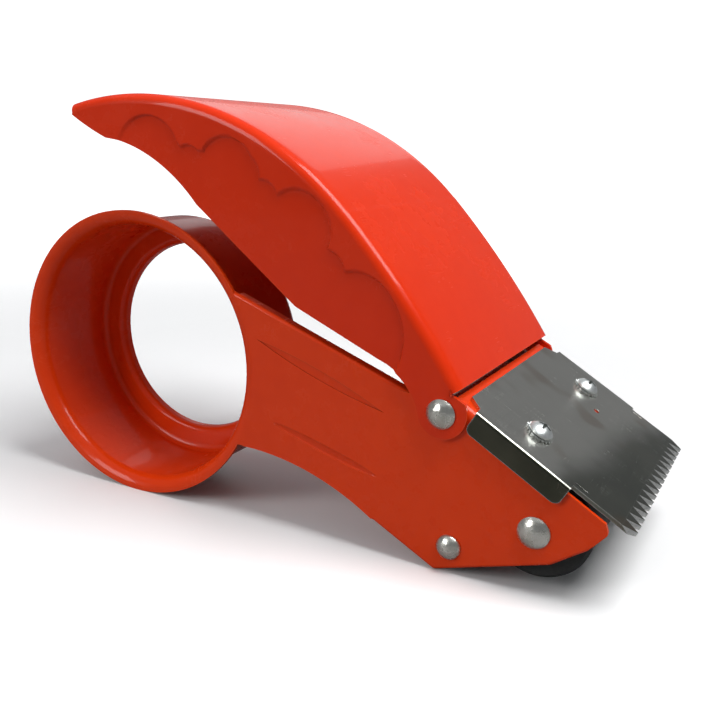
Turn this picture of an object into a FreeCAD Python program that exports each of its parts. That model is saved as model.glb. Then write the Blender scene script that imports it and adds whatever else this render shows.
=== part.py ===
import FreeCAD, Part
import math
import os
import Sketcher
from FreeCAD import Placement, Rotation, Vector

# Hand-held carton tape dispenser. Working frame of the drawing: X runs from the drum to the
# blade, Y across the tool from the near side plate's outer face, Z up, drum axis at X = Z = 0.
# Every piece is then placed so that the origin is on the floor below the middle of the tool.

SIZES = {
    # frame pressing
    "sheet": 1.0,
    "inside_width": 66.4,
    "drum_radius": 37.0,
    "drum_depth": 28.5,
    "rim_radius": 40.0,
    "drum_corner": 3.0,
    "hand_hole_radius": 28.5,
    "collar_reach": 31.0,
    "lip_turn": 2.0,
    "arm_rim_depth": 3.0,
    # deck that carries the cutter plate, at its fold line
    "deck_angle": 30.3,
    "fold_x": 101.5,
    "fold_z": 2.0,
    "deck_drop": 1.05,
    "deck_rear": 6.0,
    "deck_length": 27.0,
    "deck_bend": 2.5,
    "nose_drop": 1.9,
    # shafts
    "pivot_x": 92.9,
    "pivot_z": 0.2,
    "guide_x": 96.4,
    "guide_z": -33.0,
    "axle_x": 116.7,
    "axle_z": -24.1,
    "rod_radius": 2.5,
    "tail_radius": 2.2,
    "running_gap": 0.05,
    "head_height": 2.0,
    "pivot_head_radius": 3.6,
    "guide_head_radius": 3.15,
    "axle_head_radius": 3.9,
    # rollers
    "roller_radius": 12.8,
    "roller_core_radius": 8.0,
    "roller_start": 3.8,
    "bush_radius": 5.0,
    "bush_flange": 5.6,
    "bush_length": 7.0,
    "washer_radius": 5.2,
    "washer_thickness": 0.8,
    "sleeve_radius": 4.75,
    # cover
    "cover_gap": 0.3,
    "crown_radius": 87.0,
    "crown_joint_x": 65.66,
    "crown_joint_z": 44.7,
    "crown_front_radius": 257.0,
    "crown_front_x": 97.2,
    "crown_front_z": 6.6,
    "crown_tip_x": -18.5,
    "crown_tip_z": 67.1,
    "wall_tip_z": 64.6,
    "crown_bend": 2.6,
    "ear_radius": 6.2,
    # cutter plate
    "plate_gap": 0.2,
    "plate_rear": 3.8,
    "plate_front": 26.4,
    "blade_root": 41.6,
    "blade_inset": 1.1,
    "tooth_depth": 1.8,
    "tooth_count": 17,
    "flange_depth": 5.6,
    # cover spring
    "wire_radius": 0.5,
    "coil_radius": 3.15,
    # plate screws
    "screw_along": 13.0,
    "screw_spacing": 45.0,
    "screw_radius": 1.5,
    "screw_head_radius": 3.1,
    "screw_head_height": 2.1,
    "lock_washer_radius": 2.9,
    "lock_washer_thickness": 0.7,
    "nut_width": 5.5,
    "nut_height": 2.4,
}

doc = FreeCAD.newDocument("tape_dispenser")
sheet = doc.addObject("Spreadsheet::Sheet", "sizes")
for row, (alias, number) in enumerate(SIZES.items(), start=1):
    sheet.set(f"A{row}", alias)
    sheet.set(f"B{row}", str(number))
    sheet.setAlias(f"B{row}", alias)
doc.recompute()


class Size(float):
    """A number that remembers the sheet expression it comes from."""

    def __new__(cls, number, text):
        made = super().__new__(cls, number)
        made.text = text
        return made

    def __add__(self, other):
        return Size(float(self) + float(other), f"({self.text} + {text_of(other)})")

    def __radd__(self, other):
        return Size(float(other) + float(self), f"({text_of(other)} + {self.text})")

    def __sub__(self, other):
        return Size(float(self) - float(other), f"({self.text} - {text_of(other)})")

    def __rsub__(self, other):
        return Size(float(other) - float(self), f"({text_of(other)} - {self.text})")

    def __mul__(self, other):
        return Size(float(self) * float(other), f"({self.text} * {text_of(other)})")

    def __rmul__(self, other):
        return Size(float(other) * float(self), f"({text_of(other)} * {self.text})")

    def __truediv__(self, other):
        return Size(float(self) / float(other), f"({self.text} / {text_of(other)})")

    def __neg__(self):
        return Size(-float(self), f"(0 - {self.text})")


def text_of(number):
    """The expression text of a Size, or the plain number written out."""
    return number.text if isinstance(number, Size) else f"{float(number):.6f}"


def cell(alias):
    return Size(SIZES[alias], f"sizes.{alias}")


SHEET = cell("sheet")
OUTSIDE = cell("inside_width") + 2 * SHEET
FAR_FACE = cell("inside_width") + SHEET
RIM = cell("rim_radius")
DECK_ANGLE = cell("deck_angle")
DECK_COS = Size(math.cos(math.radians(DECK_ANGLE)), "cos(sizes.deck_angle)")
DECK_SIN = Size(math.sin(math.radians(DECK_ANGLE)), "sin(sizes.deck_angle)")
PIVOT = (cell("pivot_x"), cell("pivot_z"))
GUIDE = (cell("guide_x"), cell("guide_z"))
AXLE = (cell("axle_x"), cell("axle_z"))


def deck_point(along, above):
    """X and Z of a point given along the deck, from the fold, and square to it."""
    x = cell("fold_x") + DECK_COS * along + DECK_SIN * above
    z = cell("fold_z") - DECK_SIN * along + DECK_COS * above
    return x, z


# the floor is level with the drum's rim, and the origin is midway between rim and tooth tips
TEETH_END = deck_point(cell("blade_root") + cell("tooth_depth"), 0)
ORIGIN_X = (TEETH_END[0] - RIM) / 2
ORIGIN_Y = OUTSIDE / 2


def bind_place(piece, x, y, z, turn=None):
    """Put a piece at a point of the working frame, seen from the tool's own origin."""
    piece.Placement = Placement(Vector(0, 0, 0), turn or Rotation())
    piece.setExpression("Placement.Base.x", text_of(x - ORIGIN_X))
    piece.setExpression("Placement.Base.y", text_of(y - ORIGIN_Y))
    piece.setExpression("Placement.Base.z", text_of(z + RIM))


def new_body(label):
    body = doc.addObject("PartDesign::Body", label)
    body.Label = label
    return body


def new_sketch(body, plane, name, offset=None):
    sketch = body.newObject("Sketcher::SketchObject", f"{body.Name}_{name}")
    base = next(part for part in body.Origin.OriginFeatures if part.Role == plane)
    sketch.AttachmentSupport = [(base, "")]
    sketch.MapMode = "FlatFace"
    if offset:
        sketch.AttachmentOffset = offset
    return sketch


def hold(sketch, kind, geometry, number, *rest):
    """Add one measured constraint and bind it to the sheet."""
    index = sketch.addConstraint(Sketcher.Constraint(kind, *rest, *geometry, float(number)))
    if isinstance(number, Size):
        sketch.setExpression(f"Constraints[{index}]", number.text)


def hold_point(sketch, geometry, across, up):
    """Fix one end of a sketch element at a distance from the sketch's origin."""
    for kind, number, axis in (("DistanceX", across, -2), ("DistanceY", up, -1)):
        if abs(number) < 1e-9:
            sketch.addConstraint(Sketcher.Constraint("PointOnObject", *geometry, axis))
        else:
            hold(sketch, kind, geometry, number, -1, 1)


def arc_between(start, end, radius):
    """Short arc between two points: radius > 0 turns left from start to end, < 0 right."""
    chord = end - start
    half = chord.Length / 2
    side = Vector(-chord.y, chord.x, 0).normalize()
    reach = math.sqrt(max(radius * radius - half * half, 0))
    centre = (start + end) / 2 + side * math.copysign(reach, radius)
    first, last = (start, end) if radius > 0 else (end, start)
    angles = [math.atan2(p.y - centre.y, p.x - centre.x) for p in (first, last)]
    circle = Part.Circle(centre, Vector(0, 0, 1), abs(radius))
    return Part.ArcOfCircle(circle, angles[0], angles[1])


def outline(sketch, points, arcs=None):
    """Closed outline through the points; arcs gives the radius of each stretch that is round."""
    arcs = arcs or {}
    first_geometry = sketch.GeometryCount
    ends = []
    corners = [Vector(float(across), float(up), 0) for across, up in points]
    for index, start in enumerate(corners):
        end = corners[(index + 1) % len(corners)]
        radius = arcs.get(index)
        if radius is None:
            shape = Part.LineSegment(start, end)
        else:
            shape = arc_between(start, end, radius)
        geometry = sketch.addGeometry(shape, False)
        turned_back = radius is not None and radius < 0
        ends.append(((geometry, 2), (geometry, 1)) if turned_back else ((geometry, 1), (geometry, 2)))
    for index, (start, end) in enumerate(ends):
        following = ends[(index + 1) % len(ends)][0]
        sketch.addConstraint(Sketcher.Constraint("Coincident", *end, *following))
        hold_point(sketch, start, *points[index])
    for index, radius in arcs.items():
        size = radius if radius > 0 else -radius
        hold(sketch, "Radius", (first_geometry + index,), size)


def circle(sketch, centre, radius):
    at = Vector(float(centre[0]), float(centre[1]), 0)
    geometry = sketch.addGeometry(Part.Circle(at, Vector(0, 0, 1), float(radius)), False)
    hold_point(sketch, (geometry, 3), *centre)
    hold(sketch, "Radius", (geometry,), radius)


def bind(feature, name, number):
    setattr(feature, name, float(number))
    if isinstance(number, Size):
        feature.setExpression(name, number.text)


def pad(body, sketch, length, reverse=False):
    made = body.newObject("PartDesign::Pad", f"{sketch.Name}_pad")
    made.Profile = sketch
    bind(made, "Length", length)
    made.Reversed = reverse
    return finish_feature(body, made)


def pocket(body, sketch, length=None, reverse=False):
    """Cut a sketch out of the body: to a depth, or right through both ways."""
    before = body.Shape.Volume
    made = body.newObject("PartDesign::Pocket", f"{sketch.Name}_cut")
    made.Profile = sketch
    made.Reversed = reverse
    if length is None:
        made.Type = "ThroughAll"
        made.SideType = "Symmetric"
    else:
        bind(made, "Length", length)
    finish_feature(body, made)
    if body.Shape.Volume > before - 1e-4:
        raise RuntimeError(f"{made.Name} cuts nothing")
    return made


def revolve(body, sketch):
    made = body.newObject("PartDesign::Revolution", f"{sketch.Name}_turned")
    made.Profile = sketch
    made.ReferenceAxis = (sketch, ["V_Axis"])
    made.Angle = 360
    return finish_feature(body, made)


def finish_feature(body, made):
    body.Tip = made
    doc.recompute()
    return made


def round_edges(body, points, radius):
    """Fillet the body's edges that pass through the given points."""
    base = body.Tip
    names = []
    for point in points:
        spot = Part.Vertex(Vector(*[float(number) for number in point]))
        gaps = [edge.distToShape(spot)[0] for edge in base.Shape.Edges]
        nearest = gaps.index(min(gaps))
        if gaps[nearest] > 0.05:
            raise RuntimeError(f"{body.Label}: no edge at {point}, nearest is {gaps[nearest]:.3f} away")
        names.append(f"Edge{nearest + 1}")
    made = body.newObject("PartDesign::Fillet", f"{body.Name}_round{len(body.Group)}")
    made.Base = (base, sorted(set(names)))
    bind(made, "Radius", radius)
    return finish_feature(body, made)


def across_tool(distance):
    """Sketch offset that moves an XZ sketch a distance along +Y."""
    return Placement(Vector(0, 0, -float(distance)), Rotation())


def turned(label, profile, place, arcs=None, turn=None):
    """A piece turned about its own Y axis from a profile of (radius, Y) points."""
    body = new_body(label)
    sketch = new_sketch(body, "XY_Plane", "profile")
    outline(sketch, profile, arcs)
    revolve(body, sketch)
    bind_place(body, place[0], 0, place[1], turn)
    return body


# ---- frame: side plate, drum, deck and far cheek in one pressing --------------------------

ARM_TOP = (33.5, 21.86)
ARM_SHOULDER = (84.5, 3.4)
ARM_FOOT = (35.1, -19.18)
ARM_SAG = (76.0, -31.2)
CORNER = (92.8, -40.0)
CHIN = (121.0, -31.3)
NOSE_LOW = (128.6, -26.0)
NOSE_TIP = (133.2, -20.6)


def rotate_to_rim(point):
    """The point moved out or in along its own radius on to the drum's rim."""
    reach = math.hypot(*point)
    return RIM * (point[0] / reach), RIM * (point[1] / reach)


def front_outline():
    """The front half that both side plates share, from the bottom corner round to the deck."""
    below_bend = -cell("deck_drop") - cell("deck_bend") - 0.4
    deck_front = cell("deck_length") - cell("deck_rear")
    return [
        CORNER,
        CHIN,
        NOSE_LOW,
        NOSE_TIP,
        deck_point(36.9, -cell("nose_drop")),
        deck_point(deck_front + 0.4, -cell("nose_drop")),
        deck_point(deck_front, below_bend),
        deck_point(-cell("deck_rear"), below_bend),
        deck_point(-cell("deck_rear"), -2.4),
        deck_point(-9.5, -2.4),
        (86.6, 3.2),
    ]


def make_frame():
    body = new_body("frame")
    add_side_plate(body)
    add_far_cheek(body)
    add_deck(body)
    add_drum(body)
    add_arm_rims(body)
    add_grooves(body)
    cut_frame_holes(body)
    bind_place(body, 0, 0, 0)
    return body


def add_side_plate(body):
    sketch = new_sketch(body, "XZ_Plane", "side_plate")
    start = rotate_to_rim(ARM_TOP)
    foot = rotate_to_rim(ARM_FOOT)
    points = [start, foot, ARM_SAG] + front_outline() + [ARM_SHOULDER]
    outline(sketch, points, {0: -RIM, 1: -70.0})
    pad(body, sketch, SHEET, reverse=True)
    corners = [CORNER, NOSE_TIP, CHIN]
    round_edges(body, [(x, SHEET / 2, z) for x, z in corners], 1.2)


def add_far_cheek(body):
    sketch = new_sketch(body, "XZ_Plane", "far_cheek", across_tool(FAR_FACE))
    rear = [(84.6, -6.0), (87.0, -34.0)]
    outline(sketch, front_outline() + rear)
    pad(body, sketch, SHEET, reverse=True)
    corners = [CORNER, NOSE_TIP, CHIN] + rear
    round_edges(body, [(x, FAR_FACE + SHEET / 2, z) for x, z in corners], 1.2)


def add_deck(body):
    """The folded top: a channel across the tool, tilted like the cutter plate."""
    turn = Rotation(Vector(1, 0, 0), float(DECK_ANGLE))
    rear = deck_point(-cell("deck_rear"), 0)
    offset = Placement(Vector(0, float(rear[1]), float(rear[0])), turn)
    sketch = new_sketch(body, "YZ_Plane", "deck", offset)
    top = -cell("deck_drop")
    bend = cell("deck_bend")
    leg = top - bend - 2.0
    outer = [(0, leg), (0, top - bend), (bend, top), (OUTSIDE - bend, top), (OUTSIDE, top - bend)]
    inner = [
        (OUTSIDE, leg),
        (FAR_FACE, leg),
        (FAR_FACE, top - bend),
        (OUTSIDE - bend, top - SHEET),
        (bend, top - SHEET),
        (SHEET, top - bend),
        (SHEET, leg),
    ]
    arcs = {1: -bend, 3: -bend, 7: bend - SHEET, 9: bend - SHEET}
    outline(sketch, outer + inner, arcs)
    pad(body, sketch, cell("deck_length"))


def add_drum(body):
    """The drawn tube that the tape core slides on, with a flared rim and a turned-in far lip."""
    sketch = new_sketch(body, "XY_Plane", "drum")
    wall = cell("drum_radius")
    depth = cell("drum_depth")
    corner = cell("drum_corner")
    hole = cell("hand_hole_radius")
    turn = cell("lip_turn")
    flare = RIM - wall
    points = [
        (RIM, 0),
        (RIM, SHEET),
        (wall, SHEET + flare),
        (wall, depth - corner),
        (wall - corner, depth),
        (hole + turn, depth),
        (hole + SHEET, depth + turn - SHEET),
        (hole + SHEET, cell("collar_reach")),
        (hole, cell("collar_reach")),
        (hole, depth - SHEET + turn),
        (hole + turn, depth - SHEET),
        (wall - corner, depth - SHEET),
        (wall - SHEET, depth - corner),
        (wall - SHEET, SHEET + flare),
    ]
    arcs = {
        1: -flare,
        3: corner,
        5: -(turn - SHEET),
        9: turn,
        11: -(corner - SHEET),
        13: flare + SHEET,
    }
    outline(sketch, points, arcs)
    revolve(body, sketch)


def add_arm_rims(body):
    """The arm's long edges are folded in for stiffness, round a soft outer bend."""
    top_start = rotate_to_rim(ARM_TOP)
    foot = rotate_to_rim(ARM_FOOT)
    top = new_sketch(body, "XZ_Plane", "top_rim")
    slope = Vector(ARM_SHOULDER[0] - top_start[0], ARM_SHOULDER[1] - top_start[1], 0).normalize()
    inward = (slope.y * SHEET, -slope.x * SHEET)
    start = (top_start[0] + 1.5 * slope.x, top_start[1] + 1.5 * slope.y)
    end = (ARM_SHOULDER[0] - slope.x, ARM_SHOULDER[1] - slope.y)
    strip = [start, end, shifted(end, inward), shifted(start, inward)]
    outline(top, strip)
    pad(body, top, cell("arm_rim_depth"), reverse=True)
    bottom = new_sketch(body, "XZ_Plane", "bottom_rim")
    fall = Vector(CORNER[0] - ARM_SAG[0], CORNER[1] - ARM_SAG[1], 0).normalize()
    up = (-fall.y * SHEET, fall.x * SHEET)
    stop = (CORNER[0] - 4 * fall.x, CORNER[1] - 4 * fall.y)
    lead = (foot[0] + 1.6, foot[1] - 0.12)
    strip = [lead, ARM_SAG, stop, shifted(stop, up), shifted(ARM_SAG, up), (lead[0], lead[1] + SHEET)]
    outline(bottom, strip, {0: -70.0, 4: 69.0})
    pad(body, bottom, cell("arm_rim_depth"), reverse=True)
    soft_bend = 0.9
    middle_top = ((top_start[0] + ARM_SHOULDER[0]) / 2, (top_start[1] + ARM_SHOULDER[1]) / 2)
    middle_fall = ((ARM_SAG[0] + CORNER[0]) / 2, (ARM_SAG[1] + CORNER[1]) / 2)
    round_edges(body, [(middle_top[0], 0, middle_top[1])], soft_bend)
    round_edges(body, [(middle_fall[0], 0, middle_fall[1])], soft_bend)


def shifted(point, step):
    return point[0] + step[0], point[1] + step[1]


def add_grooves(body):
    """Two stiffening grooves pressed into the arm: shallow lens-shaped dents."""
    for name, start, end, radius in (
        ("upper", (41.0, 10.4), (77.7, -2.6), 150.0),
        ("lower", (47.4, -11.3), (75.5, -19.0), 160.0),
    ):
        sketch = new_sketch(body, "XZ_Plane", f"{name}_groove")
        outline(sketch, [start, end], {0: radius, 1: radius})
        pocket(body, sketch, 0.2 * SHEET)


def cut_frame_holes(body):
    sketch = new_sketch(body, "XZ_Plane", "shaft_holes")
    for centre in (PIVOT, GUIDE, AXLE):
        circle(sketch, centre, cell("tail_radius") + cell("running_gap"))
    pocket(body, sketch)
    turn = Rotation(Vector(0, 1, 0), float(DECK_ANGLE))
    fold = Vector(SIZES["fold_x"], 0, SIZES["fold_z"])
    screws = new_sketch(body, "XY_Plane", "screw_holes", Placement(fold, turn))
    for y in (screw_y(-1), screw_y(1)):
        circle(screws, (cell("screw_along"), y), cell("screw_radius") + 0.1)
    pocket(body, screws, 5.0)


def screw_y(side):
    return OUTSIDE / 2 + side * (cell("screw_spacing") / 2)


# ---- cover ------------------------------------------------------------------------------

COVER_NEAR = -cell("cover_gap") - SHEET
COVER_FAR = OUTSIDE + cell("cover_gap") + SHEET
SPRING_HOOK = (87.4, 13.5)


def crown_line(inset):
    """Tip, joint and front of the crown line, moved in towards the tape by an inset."""
    tip = (cell("crown_tip_x"), cell("crown_tip_z"))
    joint = (cell("crown_joint_x"), cell("crown_joint_z"))
    front = (cell("crown_front_x"), cell("crown_front_z"))
    outward = ((-0.262, 0.965), (0.706, 0.708), (0.828, 0.560))
    return [
        (point[0] - lean[0] * inset, point[1] - lean[1] * inset)
        for point, lean in zip((tip, joint, front), outward)
    ]


def crown_edge_points(inset, y):
    """One point on each of the crown's two arcs, at a distance across the tool."""
    corners = [Vector(float(x), float(z), 0) for x, z in crown_line(inset)]
    radii = (cell("crown_radius") - inset, cell("crown_front_radius") - inset)
    found = []
    for start, end, radius in zip(corners, corners[1:], radii):
        arc = arc_between(start, end, -float(radius))
        middle = arc.value((arc.FirstParameter + arc.LastParameter) / 2)
        found.append((middle.x, y, middle.y))
    return found


def make_cover():
    """Leaf-shaped guard: a crown with a wall each side, and an ear round each pivot head."""
    body = new_body("cover")
    add_cover_block(body)
    hollow_cover(body)
    holes = new_sketch(body, "XZ_Plane", "pivot_holes")
    circle(holes, PIVOT, cell("tail_radius") + cell("running_gap"))
    pocket(body, holes)
    hook = new_sketch(body, "XZ_Plane", "hook_hole", across_tool(OUTSIDE / 2))
    circle(hook, SPRING_HOOK, cell("wire_radius") + 0.3)
    pocket(body, hook, OUTSIDE)
    bind_place(body, 0, 0, 0)
    return body


def add_cover_block(body):
    sketch = new_sketch(body, "XZ_Plane", "side", across_tool(COVER_NEAR))
    ear = cell("ear_radius")
    points = crown_line(0) + [
        (98.6, 4.3),
        (PIVOT[0] + ear, PIVOT[1] + 0.6),
        (PIVOT[0] - 0.94 * ear, PIVOT[1] - 0.342 * ear),
        (78.0, 9.7),
        (52.6, 20.4),
        (22.6, 43.2),
        (-2.7, 58.2),
        (-6.4, 58.6),
        (cell("crown_tip_x"), cell("wall_tip_z")),
    ]
    arcs = {
        0: -cell("crown_radius"),
        1: -cell("crown_front_radius"),
        4: -(ear + 0.03),
        5: 13.0,
        8: 44.0,
    }
    outline(sketch, points, arcs)
    pad(body, sketch, COVER_FAR - COVER_NEAR, reverse=True)
    edges = crown_edge_points(0, COVER_NEAR) + crown_edge_points(0, COVER_FAR)
    round_edges(body, edges, cell("crown_bend"))


def hollow_cover(body):
    inside = -cell("cover_gap")
    sketch = new_sketch(body, "XZ_Plane", "hollow", across_tool(inside))
    tip, joint, front = crown_line(SHEET)
    below = -20
    beyond = 8
    points = [
        tip,
        joint,
        front,
        (front[0] + 0.828 * beyond, front[1] + 0.56 * beyond),
        (front[0] + 0.828 * beyond, below),
        (tip[0] - beyond, below),
        (tip[0] - beyond, tip[1] - 0.262 * beyond),
    ]
    radii = (cell("crown_radius") - SHEET, cell("crown_front_radius") - SHEET)
    outline(sketch, points, {0: -radii[0], 1: -radii[1]})
    pocket(body, sketch, OUTSIDE + 2 * cell("cover_gap"))
    edges = crown_edge_points(1, -cell("cover_gap"))
    edges += crown_edge_points(1, OUTSIDE + cell("cover_gap"))
    round_edges(body, edges, cell("crown_bend") - SHEET)


# ---- cutter plate -------------------------------------------------------------------------


def deck_sketch(body, name):
    """A sketch in the deck's own plane: X along the deck, Y across the tool."""
    turn = Rotation(Vector(0, 1, 0), float(DECK_ANGLE))
    fold = Vector(SIZES["fold_x"], 0, SIZES["fold_z"])
    return new_sketch(body, "XY_Plane", name, Placement(fold, turn))


def make_cutter_plate():
    """Steel plate over the deck, folded down at both sides, with a toothed blade in front."""
    body = new_body("cutter_plate")
    near = -cell("plate_gap") - SHEET
    inset = cell("blade_inset")
    teeth_end = cell("blade_root") + cell("tooth_depth")
    half = [
        (-cell("plate_rear"), 4.4),
        (-0.3, 1.9),
        (0, near),
        (cell("plate_front"), near),
        (cell("plate_front"), inset),
        (teeth_end, inset),
    ]
    sketch = deck_sketch(body, "top")
    outline(sketch, half + [(u, OUTSIDE - y) for u, y in reversed(half)])
    pad(body, sketch, SHEET, reverse=True)
    for name, y in (("near", near), ("far", OUTSIDE + cell("plate_gap"))):
        add_flange(body, name, y)
    cut_plate_holes(body)
    cut_teeth(body, teeth_end)
    bind_place(body, 0, 0, 0)
    return body


def add_flange(body, name, y):
    turn = Rotation(Vector(0, 0, 1), -float(DECK_ANGLE))
    offset = Placement(Vector(SIZES["fold_x"], SIZES["fold_z"], -float(y)), turn)
    sketch = new_sketch(body, "XZ_Plane", f"{name}_flange", offset)
    front = cell("plate_front")
    depth = -cell("flange_depth")
    top = -0.5 * SHEET
    outline(sketch, [(0, top), (front, top), (front, depth), (0, depth)])
    pad(body, sketch, SHEET, reverse=True)
    middle = y + SHEET / 2
    for along in (0, front):
        x, z = deck_point(along, depth)
        round_edges(body, [(x, middle, z)], 1.8)
    x, z = deck_point(front / 2, 0)
    outer = y if name == "near" else y + SHEET
    round_edges(body, [(x, outer, z)], 0.9)


def cut_plate_holes(body):
    sketch = deck_sketch(body, "holes")
    for side in (-1, 1):
        circle(sketch, (cell("screw_along"), screw_y(side)), cell("screw_radius") + 0.1)
    circle(sketch, (19.3, 48.2), 0.9)
    for y in (2.6, OUTSIDE - 3.1):
        outline(sketch, [(26.4, y), (29.8, y), (29.8, y + 0.5), (26.4, y + 0.5)])
    pocket(body, sketch, 2 * SHEET)


def cut_teeth(body, teeth_end):
    """One notch, repeated across the blade, leaves the row of pointed teeth."""
    count = int(SIZES["tooth_count"])
    inset = cell("blade_inset")
    pitch = (OUTSIDE - 2 * inset) / count
    flat = 0.12
    sketch = deck_sketch(body, "notch")
    low = inset + flat
    high = inset + pitch - flat
    outline(sketch, [(cell("blade_root"), inset + pitch / 2), (teeth_end, low), (teeth_end, high)])
    notch = pocket(body, sketch, 2 * SHEET)
    row = body.newObject("PartDesign::LinearPattern", "cutter_plate_teeth")
    row.Originals = [notch]
    row.Direction = (sketch, ["V_Axis"])
    row.Occurrences = count
    bind(row, "Length", pitch * (count - 1))
    finish_feature(body, row)


# ---- shafts and rollers -------------------------------------------------------------------


def make_rod(label, place, head_radius, reach):
    """Shouldered rod through both plates, with its ends riveted over into domed heads."""
    height = cell("head_height")
    tail = cell("tail_radius")
    rod = cell("rod_radius")
    near = -reach
    far = OUTSIDE + reach
    gap = cell("running_gap")
    dome = (head_radius * head_radius + height * height) / (2 * height)
    profile = [
        (0, near - height),
        (head_radius, near),
        (tail, near),
        (tail, SHEET + gap),
        (rod, SHEET + gap),
        (rod, FAR_FACE - gap),
        (tail, FAR_FACE - gap),
        (tail, far),
        (head_radius, far),
        (0, far + height),
    ]
    return turned(label, profile, place, {0: dome, 8: dome})


def tube_profile(inner, outer, start, end, chamfer):
    return [
        (inner, start),
        (outer - chamfer, start),
        (outer, start + chamfer),
        (outer, end - chamfer),
        (outer - chamfer, end),
        (inner, end),
    ]


def mirrored(profile):
    """The same turned profile seen from the other side of the tool."""
    return [(radius, OUTSIDE - y) for radius, y in profile]


def make_front_roller():
    start = cell("roller_start")
    end = OUTSIDE - start
    core = cell("roller_core_radius")
    bush = cell("bush_radius")
    bore = cell("rod_radius") + cell("running_gap")
    pieces = [
        turned("roller_tyre", tube_profile(core, cell("roller_radius"), start, end, 0.8), AXLE),
        turned("roller_core", tube_profile(bush, core, start + 0.3, end - 0.3, 0.3), AXLE),
    ]
    flange_start = SHEET + cell("washer_thickness") + 3 * cell("running_gap")
    bush_profile = [
        (bore, flange_start),
        (cell("bush_flange"), flange_start),
        (cell("bush_flange"), start),
        (bush, start),
        (bush, start + cell("bush_length")),
        (bore, start + cell("bush_length")),
    ]
    washer_start = SHEET + 2 * cell("running_gap")
    washer_end = washer_start + cell("washer_thickness")
    washer_profile = [
        (bore, washer_start),
        (cell("washer_radius"), washer_start),
        (cell("washer_radius"), washer_end),
        (bore, washer_end),
    ]
    for side, shape in (("near", list), ("far", mirrored)):
        pieces.append(turned(f"roller_bush_{side}", shape(bush_profile), AXLE))
        pieces.append(turned(f"roller_washer_{side}", shape(washer_profile), AXLE))
    return pieces


def make_guide_sleeve():
    bore = cell("rod_radius") + cell("running_gap")
    play = 0.4
    profile = tube_profile(bore, cell("sleeve_radius"), SHEET + play, FAR_FACE - play, 0.4)
    return turned("guide_sleeve", profile, GUIDE)


# ---- plate fasteners ----------------------------------------------------------------------

SQUARE_TO_DECK = Rotation(Vector(0, 1, 0), float(DECK_ANGLE)) * Rotation(Vector(1, 0, 0), 90)


def deck_place(above):
    """Where a screw's own origin sits, at a height over the cutter plate."""
    return deck_point(cell("screw_along"), above)


def make_screw(side, name):
    head = cell("screw_head_radius")
    height = cell("screw_head_height")
    shank = cell("screw_radius")
    under = cell("lock_washer_thickness")
    end = -cell("deck_drop") - SHEET - cell("nut_height") - 0.9
    brim = 0.5
    rise = height - brim
    dome = (head * head + rise * rise) / (2 * rise)
    profile = [
        (0, end),
        (shank - 0.4, end),
        (shank, end + 0.4),
        (shank, under),
        (head, under),
        (head, under + brim),
        (0, under + height),
    ]
    x, z = deck_place(0)
    body = turned(f"plate_screw_{name}", profile, (x, z), {5: dome}, SQUARE_TO_DECK)
    cross = new_sketch(body, "XZ_Plane", "recess", across_tool(under + height))
    wide = 1.7
    slim = 0.35
    arm = [(wide, -slim), (wide, slim), (slim, slim)]
    points = []
    for _ in range(4):
        points += arm
        arm = [(-up, across) for across, up in arm]
    outline(cross, points)
    pocket(body, cross, 1.2, reverse=True)
    bind_place(body, x, screw_y(side), z, SQUARE_TO_DECK)
    return body


def make_nut(side, name):
    body = new_body(f"plate_nut_{name}")
    sketch = new_sketch(body, "XZ_Plane", "hexagon")
    corner = cell("nut_width") / math.sqrt(3)
    points = []
    for step in range(6):
        angle = math.radians(60 * step)
        points.append((corner * math.cos(angle), corner * math.sin(angle)))
    outline(sketch, points)
    pad(body, sketch, cell("nut_height"), reverse=True)
    hole = new_sketch(body, "XZ_Plane", "thread")
    circle(hole, (0, 0), cell("screw_radius") + cell("running_gap"))
    pocket(body, hole)
    x, z = deck_place(-cell("deck_drop") - SHEET - cell("nut_height"))
    bind_place(body, x, screw_y(side), z, SQUARE_TO_DECK)
    return body


def make_lock_washer(side, name):
    """Split spring washer under a screw head."""
    ring = doc.addObject("Part::Cylinder", f"washer_ring_{name}")
    bore = doc.addObject("Part::Cylinder", f"washer_bore_{name}")
    split = doc.addObject("Part::Box", f"washer_split_{name}")
    bind(ring, "Radius", cell("lock_washer_radius"))
    bind(bore, "Radius", cell("screw_radius") + cell("running_gap"))
    for piece in (ring, bore):
        bind(piece, "Height", cell("lock_washer_thickness"))
    bind(split, "Length", cell("lock_washer_radius"))
    bind(split, "Width", cell("lock_washer_thickness") / 2)
    bind(split, "Height", cell("lock_washer_thickness"))
    open_ring = doc.addObject("Part::Cut", f"washer_open_{name}")
    open_ring.Base = ring
    open_ring.Tool = bore
    washer = doc.addObject("Part::Cut", f"lock_washer_{name}")
    washer.Label = f"lock_washer_{name}"
    washer.Base = open_ring
    washer.Tool = split
    x, z = deck_place(0)
    turn = Rotation(Vector(0, 1, 0), float(DECK_ANGLE)) * Rotation(Vector(0, 0, 1), 200)
    bind_place(washer, x, screw_y(side), z, turn)
    return washer


# ---- cover spring -------------------------------------------------------------------------


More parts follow.
